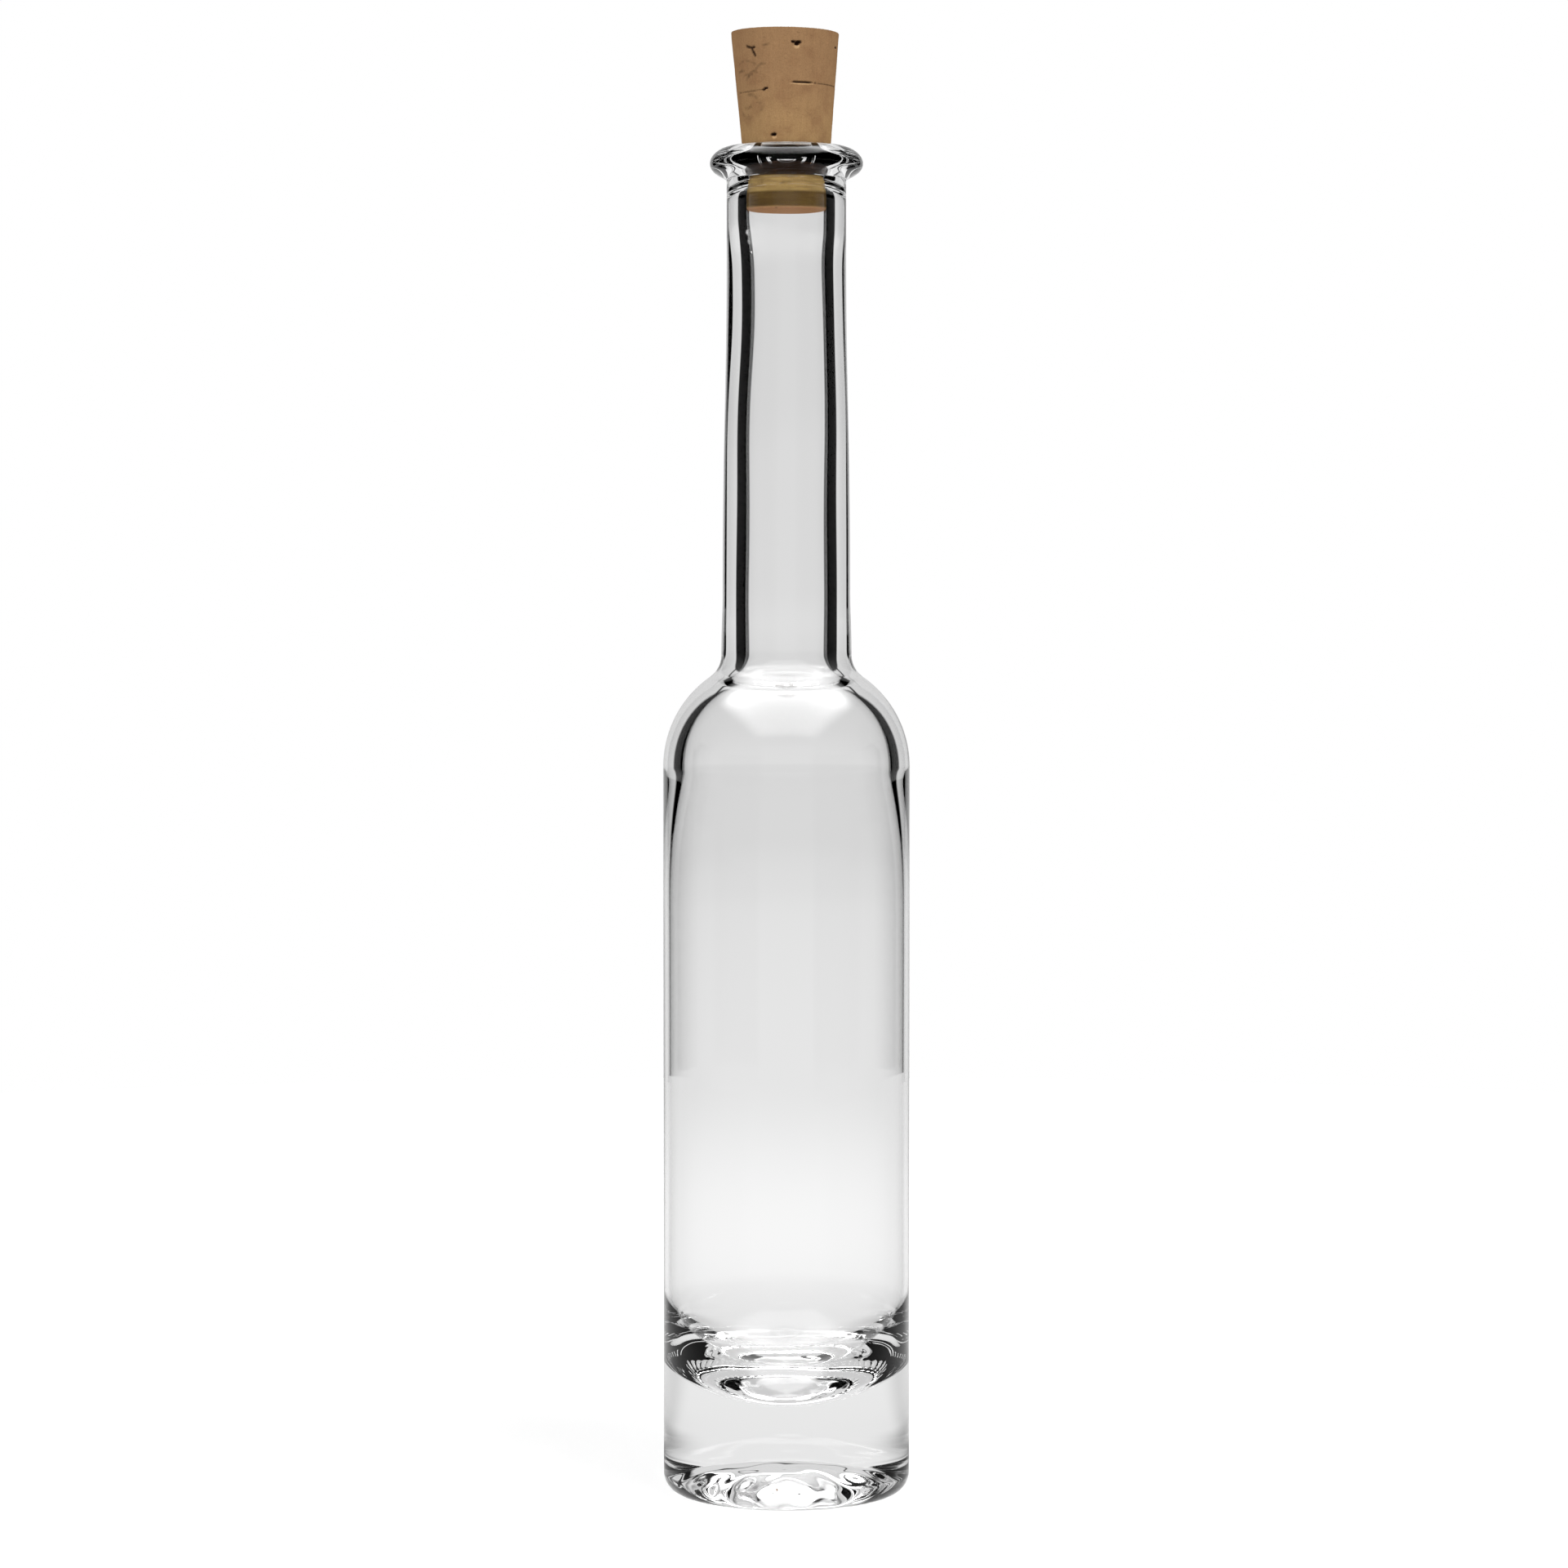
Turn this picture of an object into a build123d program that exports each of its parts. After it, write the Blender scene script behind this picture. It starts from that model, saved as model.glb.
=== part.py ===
"""Tall clear-glass bottle with a long neck, closed by a tapered natural cork.

The bottle is one blown piece of glass with a domed base, a thick floor under a bowl-shaped cavity,
a round shoulder, a slender neck and a rolled lip. The cork is pushed into the mouth and pulls out
upwards. Millimetres, Z up, origin at the centre of the ring that the bottle stands on.
"""

import os
from math import sqrt

from build123d import *

# Bottle, outside
glass_height = 204.7
body_diameter = 37.5
shoulder_height = 110.9
shoulder_radius = 16.6
neck_foot_diameter = 19.8
neck_foot_length = 9.5
neck_foot_fillet = 4.1
neck_waist_diameter = 19.4
neck_straight_length = 9.6
neck_top_diameter = 18.1
lip_diameter = 23.2
lip_height = 5.0
heel_radius = 3.0
bearing_width = 1.2
bearing_edge_fillet = 0.6
punt_depth = 5.5

# Bottle, inside
bore_diameter = 12.2
choke_diameter = 11.2
choke_length = 9.4
bore_foot_diameter = 12.4
bore_foot_fillet = 7.5
shoulder_wall = 2.9
wall_taper_length = 22.0
body_wall = 1.0
bowl_depth = 17.0
floor_thickness = 8.5
mouth_diameter = 14.8
mouth_round = 0.6
crown_width = 0.1
ledge_diameter = 14.7
ledge_depth = 1.6
ledge_height = 1.0
ledge_round = 0.3

# Cork
cork_length = 26.9
cork_insertion = 9.8
cork_top_diameter = 16.3
cork_rim_diameter = 13.4
cork_clearance = 0.05
cork_swell_blend = 2.0
cork_rim_blend = 10.0
cork_top_round = 0.3
cork_end_bevel = 0.4

# Control points of the curved stretches, as shares of the sizes that they follow
neck_bend_share = 0.45
lip_under_share = 0.55
lip_rise_share = 0.15
lip_belly_share = 0.5
lip_crown_share = 0.35
wall_bend_share = 0.07
wall_settle_share = 0.64
bowl_round_share = 0.55
choke_bend_share = 0.45
choke_widening_share = 0.44

# Sizes that follow from the ones above
body_radius = body_diameter / 2
neck_foot_radius = neck_foot_diameter / 2
neck_waist_radius = neck_waist_diameter / 2
neck_top_radius = neck_top_diameter / 2
lip_radius = lip_diameter / 2
lip_bottom = glass_height - lip_height
lip_middle = glass_height - lip_height / 2
lip_overhang = lip_radius - neck_top_radius
lip_belly = lip_belly_share * lip_height / 2
bearing_outer_radius = body_radius - heel_radius
bearing_inner_radius = bearing_outer_radius - bearing_width
punt_radius = (bearing_inner_radius**2 + punt_depth**2) / (2 * punt_depth)

bore_radius = bore_diameter / 2
choke_radius = choke_diameter / 2
bore_foot_radius = bore_foot_diameter / 2
cavity_radius = body_radius - body_wall
cavity_top_radius = body_radius - shoulder_wall
cavity_floor = punt_depth + floor_thickness
bowl_top = cavity_floor + bowl_depth
inner_shoulder_radius = shoulder_radius - shoulder_wall
wall_taper_bottom = shoulder_height - wall_taper_length
wall_bend = wall_bend_share * wall_taper_length
wall_settle = wall_settle_share * wall_taper_length
mouth_radius = mouth_diameter / 2
crown_radius = mouth_radius + mouth_round + crown_width
ledge_radius = ledge_diameter / 2
ledge_top = glass_height - ledge_depth
ledge_bottom = ledge_top - ledge_height

cork_bottom = glass_height - cork_insertion
choke_height = cork_bottom - choke_length
choke_bend = choke_bend_share * choke_length
cork_top = cork_bottom + cork_length
cork_end_radius = bore_radius - cork_clearance
cork_rim_radius = cork_rim_diameter / 2
cork_top_radius = cork_top_diameter / 2
cork_swell_bottom = ledge_bottom - cork_clearance


def shoulder_end(arc_radius, end_radius):
    """Height where a shoulder arc of this radius has narrowed to end_radius."""
    run = end_radius - (body_radius - shoulder_radius)
    return shoulder_height + sqrt(arc_radius**2 - run**2)


neck_foot = shoulder_end(shoulder_radius, neck_foot_radius)
neck_taper_bottom = neck_foot + neck_foot_length
neck_taper_top = lip_bottom - neck_straight_length
neck_bend = neck_bend_share * (neck_taper_top - neck_taper_bottom)
bore_foot = shoulder_end(inner_shoulder_radius, bore_foot_radius)
choke_widening = choke_widening_share * (choke_height - bore_foot)
choke_end = choke_height - choke_widening
widening_bend = choke_bend_share * choke_widening


def round_corner(corner, radius):
    """Rounds the corner of the sketch in hand that lies nearest to a point."""
    fillet(vertices().sort_by_distance(corner)[0], radius)


# The glass: one half of its section, turned about the axis
with BuildPart() as glass_bottle:
    with BuildSketch(Plane.XZ):
        with BuildLine():
            # Outside, from the dome under the base up to the crown of the lip
            punt = RadiusArc((0, punt_depth), (bearing_inner_radius, 0), punt_radius)
            bearing = Line(punt @ 1, (bearing_outer_radius, 0))
            heel = CenterArc((bearing_outer_radius, heel_radius), heel_radius, -90, 90)
            body = Line(heel @ 1, (body_radius, shoulder_height))
            shoulder = RadiusArc(body @ 1, (neck_foot_radius, neck_foot), -shoulder_radius)
            foot = Line(shoulder @ 1, (neck_waist_radius, neck_taper_bottom))
            taper = Bezier(
                foot @ 1,
                (neck_waist_radius, neck_taper_bottom + neck_bend),
                (neck_top_radius, neck_taper_top - neck_bend),
                (neck_top_radius, neck_taper_top),
            )
            neck = Line(taper @ 1, (neck_top_radius, lip_bottom))
            lip_under = Bezier(
                neck @ 1,
                (
                    neck_top_radius + lip_under_share * lip_overhang,
                    lip_bottom + lip_rise_share * lip_height,
                ),
                (lip_radius, lip_middle - lip_belly),
                (lip_radius, lip_middle),
            )
            lip_over = Bezier(
                lip_under @ 1,
                (lip_radius, lip_middle + lip_belly),
                (neck_top_radius + lip_crown_share * lip_overhang, glass_height),
                (crown_radius, glass_height),
            )
            # Inside, from the mouth down to the floor of the cavity
            crown = Line(lip_over @ 1, (mouth_radius, glass_height))
            mouth = Line(crown @ 1, (ledge_radius, ledge_top))
            ledge = Line(mouth @ 1, (bore_radius, ledge_bottom))
            seat = Line(ledge @ 1, (bore_radius, cork_bottom))
            choke = Bezier(
                seat @ 1,
                (bore_radius, cork_bottom - choke_bend),
                (choke_radius, choke_height + choke_bend),
                (choke_radius, choke_height),
            )
            widening = Bezier(
                choke @ 1,
                (choke_radius, choke_height - widening_bend),
                (bore_foot_radius, choke_end + widening_bend),
                (bore_foot_radius, choke_end),
            )
            bore = Line(widening @ 1, (bore_foot_radius, bore_foot))
            inner_shoulder = RadiusArc(
                bore @ 1, (cavity_top_radius, shoulder_height), inner_shoulder_radius
            )
            wall_taper = Bezier(
                inner_shoulder @ 1,
                (cavity_top_radius, shoulder_height - wall_bend),
                (cavity_radius, wall_taper_bottom + wall_settle),
                (cavity_radius, wall_taper_bottom),
            )
            cavity_wall = Line(wall_taper @ 1, (cavity_radius, bowl_top))
            bowl = Bezier(
                cavity_wall @ 1,
                (cavity_radius, bowl_top - bowl_round_share * bowl_depth),
                (bowl_round_share * cavity_radius, cavity_floor),
                (0, cavity_floor),
            )
            Line(bowl @ 1, punt @ 0)
        make_face()
        round_corner((bearing_inner_radius, 0), bearing_edge_fillet)
        round_corner((neck_foot_radius, neck_foot), neck_foot_fillet)
        round_corner((mouth_radius, glass_height), mouth_round)
        round_corner((ledge_radius, ledge_top), ledge_round)
        round_corner((bore_radius, ledge_bottom), ledge_round)
        round_corner((bore_foot_radius, bore_foot), bore_foot_fillet)
    revolve(axis=Axis.Z)

# The cork: squeezed straight in the bore, swelling in the mouth and tapered above it
with BuildPart() as cork_stopper:
    with BuildSketch(Plane.XZ):
        with BuildLine():
            Polyline(
                (0, cork_bottom),
                (cork_end_radius, cork_bottom),
                (cork_end_radius, cork_swell_bottom),
                (cork_rim_radius, glass_height),
                (cork_top_radius, cork_top),
                (0, cork_top),
                close=True,
            )
        make_face()
        round_corner((cork_end_radius, cork_swell_bottom), cork_swell_blend)
        round_corner((cork_rim_radius, glass_height), cork_rim_blend)
        round_corner((cork_top_radius, cork_top), cork_top_round)
        end_corner = vertices().sort_by_distance((cork_end_radius, cork_bottom))[0]
        chamfer(end_corner, cork_end_bevel)
    revolve(axis=Axis.Z)

glass_bottle.part.label = "glass_bottle"
cork_stopper.part.label = "cork_stopper"

os.makedirs("parts", exist_ok=True)
export_step(glass_bottle.part, "parts/glass_bottle.step")
export_step(cork_stopper.part, "parts/cork_stopper.step")

print(f"the neck starts at {neck_foot:.2f} and the bore ends at {bore_foot:.2f}")
print(f"glass {glass_bottle.part.volume:.0f} and cork {cork_stopper.part.volume:.0f} cubic mm")
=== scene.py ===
"""Looks of the corked glass bottle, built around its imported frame. Metres, Z up, front towards -Y.
Its curves and marks are worked out in millimetres, and its meshes are made in metres."""

from math import acos, atan2, cos, exp, pi, radians, sin, sqrt, tan

import bpy
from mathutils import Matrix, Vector, noise


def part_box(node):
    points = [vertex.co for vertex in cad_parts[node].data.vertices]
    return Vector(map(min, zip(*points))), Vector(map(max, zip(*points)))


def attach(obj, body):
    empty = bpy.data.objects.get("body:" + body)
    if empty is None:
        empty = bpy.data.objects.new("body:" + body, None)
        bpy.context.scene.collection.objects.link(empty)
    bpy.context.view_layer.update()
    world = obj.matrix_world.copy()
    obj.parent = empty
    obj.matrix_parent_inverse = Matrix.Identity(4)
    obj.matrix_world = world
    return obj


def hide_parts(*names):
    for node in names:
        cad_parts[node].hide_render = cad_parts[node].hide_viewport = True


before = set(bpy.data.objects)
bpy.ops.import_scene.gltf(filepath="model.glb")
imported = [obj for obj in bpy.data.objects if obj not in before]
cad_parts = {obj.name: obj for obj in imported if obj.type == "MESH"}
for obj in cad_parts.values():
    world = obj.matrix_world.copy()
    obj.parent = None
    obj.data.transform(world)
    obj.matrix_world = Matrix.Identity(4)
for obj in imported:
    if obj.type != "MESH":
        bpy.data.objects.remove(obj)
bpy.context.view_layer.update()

MM = 0.001
scene = bpy.context.scene
scene.view_settings.view_transform = "Standard"

# Sizes that the frame gives, in millimetres
_, glass_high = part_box("glass_bottle")
cork_low, cork_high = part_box("cork_stopper")
glass_height = glass_high.z / MM
body_radius = glass_high.x / MM
cork_bottom = cork_low.z / MM
cork_top = cork_high.z / MM

# Camera: a long lens, level with the foot of the neck. Near and far are in metres, and the rest
# in millimetres
camera_lens_mm = 104.25
camera_sensor_mm = 36.0
camera_near = 0.01
camera_far = 50.0
camera_distance = 690.6
camera_height = 136.2
camera_aim_height = 108.2
camera_shift_left = 0.37

# Bottle, outside, in millimetres
shoulder_height = 110.9
shoulder_radius = 16.6
neck_foot_radius = 9.9
neck_foot_length = 9.5
neck_foot_fillet = 4.1
neck_waist_radius = 9.7
neck_straight_length = 9.6
neck_top_radius = 9.05
lip_radius = 11.6
lip_height = 5.0
heel_radius = 3.0
bearing_width = 1.2
bearing_fillet = 0.6
punt_depth = 5.5
bearing_inner = body_radius - heel_radius - bearing_width

# Bottle, inside, in millimetres
bore_radius = 6.1
choke_radius = 5.6
choke_length = 9.4
bore_foot_radius = 6.2
bore_foot_fillet = 7.5
shoulder_wall = 2.9
wall_taper_length = 22.0
body_wall = 1.0
bowl_depth = 17.0
floor_thickness = 8.5
bowl_top = punt_depth + floor_thickness + bowl_depth
mouth_radius = 7.4
mouth_round = 0.6
crown_width = 0.1
ledge_radius = 7.35
ledge_top_depth = 1.6
ledge_bottom_depth = 2.6
ledge_round = 0.3

# Control points of the curved stretches, as shares of the sizes that they follow
neck_bend_share = 0.45
lip_under_share = 0.55
lip_rise_share = 0.15
lip_belly_share = 0.5
lip_crown_share = 0.35
wall_bend_share = 0.07
wall_settle_share = 0.64
bowl_round_share = 0.55
choke_bend_share = 0.45
choke_widening_share = 0.44

# How fine the meshes are: their columns round the axis, then in millimetres how far apart their
# rows are on straight stretches, and how near to each other two points count as one
glass_columns = 240
cork_columns = 300
fine_step = 0.2
cork_side_step = 0.14
cork_end_step = 0.3
seat_step = 0.4
cavity_step = 2.5
neck_step = 3.0
body_step = 4.0
same_place = 1e-6

# Waves of the blown glass, in millimetres: how high they are, and how long round and along it
wall_wave = 0.07
wall_wave_round = 14.0
wall_wave_along = 42.0
bore_wave = 0.05
bore_wave_round = 7.0
bore_wave_along = 16.0
bowl_wave = 0.1
bowl_wave_length = 6.5
punt_wave = 0.3
punt_wave_length = 3.2

# Where the waves fade out, in millimetres: at the top of the bowl, in the shoulder, below the
# cork, towards the middle of the bowl's floor, and at the edge of the dome
bowl_fade = 9.0
shoulder_fade_low = 118.0
body_fade_high = 124.0
bore_fade_high = 128.0
cork_fade_begins = 4.0
cork_fade_ends = 1.0
bowl_flat_radius = 4.0
bowl_steep_radius = 14.0
punt_fade_begins = 2.0
punt_fade_ends = 0.4

# A slight shift of the bore to the right, in millimetres: how far, at what height, and its reach
bore_shift = 0.22
bore_shift_height = 177.0
bore_shift_reach = 14.0

# Lugs pressed into the ring that the bottle stands on: their number, their sizes in millimetres,
# how they slant, stray and vary round the ring, and the cosines between which a gap deepens
lug_count = 40
lug_depth = 0.12
lug_inner_radius = 13.9
lug_outer_radius = 16.6
lug_edge = 0.9
lug_slant = 0.9
lug_stray = 2.2
lug_stray_waves = 2.5
lug_even_share = 0.75
lug_uneven_share = 0.5
lug_uneven_waves = 4
gap_begins = -0.35
gap_ends = 0.55

# A small bubble in the wall of the neck: azimuth in degrees, radius, height and size
bubble_azimuth = -37.3
bubble_radius = 8.45
bubble_height = 188.2
bubble_size = 0.2

# Cork, in millimetres, with its lean and its top's slant as slopes
cork_end_radius = 6.05
cork_straight_length = 7.15
cork_rim_radius = 6.7
cork_top_radius = 8.15
cork_top_round = 0.12
cork_end_bevel = 0.4
cork_lean = 0.013
cork_top_slant = 0.012

# Roughness of the cork's skin, in millimetres, its noise's scales, where it fades in, and the
# radius inside which nothing moves outwards
cork_grain = 0.035
cork_grain_scale = 1.3
cork_grain_upright_scale = 0.5
cork_grit = 0.02
cork_top_grit = 0.04
cork_grit_scale = 5
cork_free_fade = 1.5
cork_top_fade = 0.6
cork_still_radius = 1.0

# Noise in the cork's colour: its scale, its detail, and how much finer it is along X, Y and Z
mottle_noise = (330.0, 3.0, (1.0, 1.0, 1.3))
streak_noise = (2400.0, 3.0, (1.0, 1.0, 0.1))
grain_noise = (5200.0, 4.0, (1.0, 1.0, 1.0))
pore_noise = (1100.0, 2.0, (1.0, 1.0, 2.4))
layer_noise = (420.0, 4.0, (1.0, 1.0, 6.0))
# The noise's values between which a colour comes in, and the shares of it that they give
mottle_range = (0.42, 0.72, 0.0, 0.55)
layer_range = (0.35, 0.7, 0.0, 1.0)
fleck_range = (0.66, 0.76, 0.0, 0.35)
# How the grain lightens and darkens the cork, and its relief, as deep as this in millimetres
grain_base_level = 0.62
grain_streak_level = 0.22
grain_fine_level = 0.54
relief_strength = 0.35
relief_depth = 0.08
relief_streak_share = 0.4
cork_roughness = 0.9

# Colours of the cork
cork_low_colour = (0.36, 0.22, 0.1)
cork_high_colour = (0.29, 0.168, 0.083)
mottle_colour = (0.235, 0.125, 0.062)
# The part of the cork inside the neck: olive, with a darker band above an orange lower end
inserted_colour = (0.36, 0.235, 0.082)
inserted_layer_colour = (0.25, 0.16, 0.062)
dark_band_colour = (0.05, 0.026, 0.008)
cork_end_colour = (0.70, 0.37, 0.19)
# Almost black: painted shade on the part of the cork that the lip surrounds
painted_shade_colour = (0.022, 0.009, 0.004)
fleck_colour = (0.12, 0.06, 0.03)
pale_edge_colour = (0.52, 0.33, 0.17)
# Near black in holes, cracks and veins: the cork's own dark marks, with painted shade in the hollow
# holes and cracks
mark_and_shade_colour = (0.02, 0.009, 0.006)

# Heights at which the cork's colours change, in millimetres, and how strong the dark band is
high_colour_begins = 204.0
high_colour_full = 216.0
inserted_begins = 202.4
inserted_full = 200.4
dark_band_low = 195.3
dark_band_high = 197.7
dark_band_soft = 0.25
dark_band_share = 0.72
cork_end_begins = 195.35
cork_end_full = 195.05
# Heights between which the cork is painted almost black, as shade inside the lip
shade_ring_low = 200.6
shade_ring_high = 204.6
shade_ring_soft = 0.8

# Marks in the cork: the radius that turns their azimuths into millimetres, how far inside the
# cork's skin they still show, and the shares of their size between which their edges fade
cork_mark_radius = 7.6
cork_mark_margin = 0.5
hole_fade_shares = (0.55, 1.1)
dark_edge_shares = (0.8, 1.35)
pale_edge_shares = (0.7, 1.5)
pale_edge_drop_share = 1.5
vein_fade_shares = (0.4, 1.9)
# How veins stray, in millimetres, and break up, and how many degrees past their ends they may run
vein_stray = 0.1
vein_stray_scale = 3
vein_whole_share = 0.65
vein_broken_share = 0.6
vein_broken_scale = 1.7
vein_margin_before = 4
vein_margin_after = 8

# Holes in the cork: azimuth in degrees from the front towards +X, height, half width, half height
# and depth in millimetres, and whether its lower edge is pale
cork_holes = [
    (8.8, 219.62, 0.30, 0.20, 0.5, 0),
    (14.6, 219.55, 0.42, 0.25, 0.6, 0),
    (12.6, 219.30, 0.34, 0.26, 0.6, 1),
    (19.6, 213.66, 1.60, 0.13, 0.2, 1),
    (-17.6, 205.92, 0.36, 0.20, 0.5, 0),
    (-15.4, 205.95, 0.34, 0.26, 0.5, 1),
    (-23.8, 212.82, 0.34, 0.16, 0.3, 0),
    (-26.6, 212.62, 0.32, 0.15, 0.3, 0),
    (73.0, 219.35, 0.45, 0.12, 0.2, 0),
    (118.0, 216.2, 0.70, 0.24, 0.5, 1),
    (151.0, 209.4, 0.40, 0.30, 0.5, 1),
    (-162.0, 218.1, 1.10, 0.16, 0.4, 1),
    (-141.0, 211.5, 0.35, 0.25, 0.5, 1),
    (-108.0, 207.3, 0.30, 0.22, 0.4, 0),
    (95.0, 207.9, 0.80, 0.14, 0.3, 0),
]
# Cracks and veins: half width in millimetres, darkness, depth, and their points
cork_veins = [
    (0.075, 1.0, 0.4, [(9.0, 213.74), (20.0, 213.7), (30.5, 213.64)]),
    (0.05, 0.8, 0.2, [(20.0, 213.62), (30.5, 213.58)]),
    (0.06, 0.75, 0.06, [(30.0, 213.66), (46.0, 213.62), (60.0, 213.6), (80.0, 213.58)]),
    (0.06, 0.55, 0.05, [(-72.0, 212.55), (-52.0, 212.5), (-40.0, 212.55), (-29.0, 212.6)]),
    (0.15, 0.95, 0.15, [(-47.0, 219.2), (-42.5, 218.95), (-38.0, 218.95), (-36.0, 219.0)]),
    (0.16, 0.95, 0.15, [(-40.0, 218.85), (-38.0, 218.35), (-35.6, 217.75)]),
    (0.13, 0.45, 0.0, [(-25.5, 219.15), (-21.0, 219.25), (-18.0, 219.3)]),
    (0.12, 0.35, 0.0, [(-63.0, 216.7), (-52.0, 217.2), (-44.0, 216.9), (-33.0, 216.3)]),
    (0.14, 0.50, 0.0, [(-36.0, 215.6), (-33.0, 216.0), (-29.0, 216.5), (-24.0, 216.4)]),
    (0.16, 0.45, 0.0, [(-66.0, 215.5), (-60.0, 215.7), (-55.0, 215.6)]),
    (0.20, 0.60, 0.0, [(-50.0, 214.4), (-47.0, 214.8), (-42.0, 215.1)]),
    (0.12, 0.40, 0.0, [(-56.0, 214.9), (-47.0, 215.1), (-40.0, 215.5), (-34.0, 215.2)]),
    (0.22, 0.35, 0.0, [(-50.0, 212.1), (-42.0, 211.9), (-37.0, 211.5)]),
    (0.25, 0.25, 0.0, [(-34.0, 211.0), (-30.0, 210.3), (-31.0, 209.6)]),
    (0.20, 0.35, 0.0, [(-58.0, 210.1), (-52.0, 210.0), (-47.0, 210.2)]),
    (0.25, 0.22, 0.0, [(-66.0, 209.3), (-58.0, 208.8), (-50.0, 208.5)]),
    (0.06, 0.60, 0.05, [(100.0, 214.4), (118.0, 214.6), (140.0, 214.3), (155.0, 214.5)]),
    (0.15, 0.45, 0.0, [(120.0, 211.2), (128.0, 211.9), (135.0, 211.7)]),
    (0.18, 0.45, 0.0, [(170.0, 215.3), (176.0, 215.9), (182.0, 216.0)]),
    (0.06, 0.60, 0.05, [(-172.0, 208.4), (-150.0, 208.6), (-128.0, 208.3)]),
    (0.16, 0.50, 0.0, [(-128.0, 217.0), (-120.0, 216.5), (-113.0, 216.7)]),
    (0.18, 0.40, 0.0, [(-96.0, 213.0), (-90.0, 213.6), (-84.0, 213.5)]),
    (0.12, 0.40, 0.0, [(-8.0, 199.0), (-5.0, 199.1), (0.0, 199.3), (3.0, 199.2)]),
]

# Clear glass: how strongly it bends light, and the share of its head-on reflections that is kept,
# where real glass keeps them all. At a grazing angle they stay almost whole
glass_ior = 1.52
glass_reflection_share = 0.15

# Light, where 1 is white; angles in degrees, azimuth 0 behind the object and 90 on its right
soft_light_level = 0.6
horizon_level = 0.73
horizon_elevation = -1.5
far_table_level = 0.79
far_table_elevation = -6.0
wall_share = 0.94
wall_low = -2.0
wall_high = 3.0
# The light overhead, on a level plane at a height of 1: its half width, its reach to the front and
# to the back, how soft its edges are, and the least rise of a ray towards it
overhead_level = 11.0
overhead_width = 0.78
overhead_front = 1.22
overhead_back = 0.5
overhead_soft = 0.25
least_rise = 0.01
# Lamps, which only matt surfaces see: place and size in metres, and watts
key_place = (0.5, -0.7, 0.9)
key_size = 0.5
key_strength = 7.0
fill_place = (-0.8, -0.5, 0.5)
fill_size = 0.6
fill_strength = 3.0
# Dark cards: centre azimuth, half width and its softness, lowest and highest elevation and their
# softness, and the share of the light that shows through them to rays that have passed the glass
dark_cards = [
    (-54.0, 22.0, 2.5, -9.0, 95.0, 0.4, 0.0),
    (54.0, 22.0, 2.5, -9.0, 95.0, 0.4, 0.0),
    (-90.0, 14.0, 2.5, -9.0, 14.0, 0.4, 0.6),
    (90.0, 14.0, 2.5, -9.0, 14.0, 0.4, 0.6),
    (-90.0, 14.0, 2.5, 14.0, 95.0, 1.0, 0.0),
    (90.0, 14.0, 2.5, 14.0, 95.0, 1.0, 0.0),
    (-128.5, 24.5, 2.5, -6.0, 95.0, 0.4, 0.0),
    (128.5, 24.5, 2.5, -6.0, 95.0, 0.4, 0.0),
    (0.0, 42.0, 3.5, 32.0, 34.5, 1.0, 0.0),
    (180.0, 45.0, 3.5, 25.0, 95.0, 2.0, 0.0),
    (0.0, 200.0, 1.5, 57.0, 95.0, 3.0, 0.0),
]

# The table top, in metres: its radius and number of sides, where it changes, and its levels in
# gloss and glass near the bottle and further out. At its rim it has the level of the far table
table_radius = 0.6
table_sides = 96
table_near = 0.04
table_middle = 0.28
# Near the bottle the table is dimmer in gloss and glass: painted shadow of the bottle
near_table_level = 0.8
table_level = 0.93
table_colour = (0.8, 0.8, 0.8, 1.0)
least_distance = 0.001
# Its darker sides: the distances in metres between which they lie, how far sideways of the bottle
# they begin and end, from 0 in front of it or behind it to 1 at its left or right, and the share of
# the light that is left there
# Close to the bottle, the darker sides are painted shade of the bottle on the table
close_low = 0.03
close_high = 0.047
close_soft = 0.008
close_begins_share = 0.2
close_ends_share = 0.65
close_light_share = 0.35
side_low = 0.35
side_begins_share = 0.5
side_ends_share = 0.75
side_light_share = 0.75
rim_begins_share = 0.85
rim_ends_share = 0.97
rim_light_share = 0.56
mirrored_side_low = 0.12
mirrored_side_high = 0.26
# The table top as the camera sees it: its glow, and the colour on which the shadow falls
glow_low = 0.06
glow_high = 0.15
glow_near_level = 0.8
glow_far_level = 0.95
shadow_colour = (0.25, 0.25, 0.25, 1.0)


def camera():
    """A camera at the photograph's viewing angle."""
    data = bpy.data.cameras.new("camera")
    data.lens = camera_lens_mm
    data.sensor_width = camera_sensor_mm
    data.clip_start = camera_near
    data.clip_end = camera_far
    made = bpy.data.objects.new("camera", data)
    place = Vector((-camera_shift_left, -camera_distance, camera_height)) * MM
    aim = Vector((-camera_shift_left, 0, camera_aim_height)) * MM
    made.location = place
    made.rotation_euler = (aim - place).to_track_quat("-Z", "Y").to_euler()
    scene.collection.objects.link(made)
    scene.camera = made


camera()


# Curves of the two profiles, as lists of (radius, height) in millimetres
def straight(start, end, step):
    """Points from start to end, about a step apart."""
    count = max(1, round(sqrt((end[0] - start[0]) ** 2 + (end[1] - start[1]) ** 2) / step))
    return [
        (start[0] + (end[0] - start[0]) * i / count, start[1] + (end[1] - start[1]) * i / count)
        for i in range(count + 1)
    ]


def arc(centre, radius, start, end, count):
    """Points on a circle, from the start angle to the end angle, in degrees from the radial."""
    turns = [radians(start + (end - start) * i / count) for i in range(count + 1)]
    return [(centre[0] + radius * cos(a), centre[1] + radius * sin(a)) for a in turns]


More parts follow.
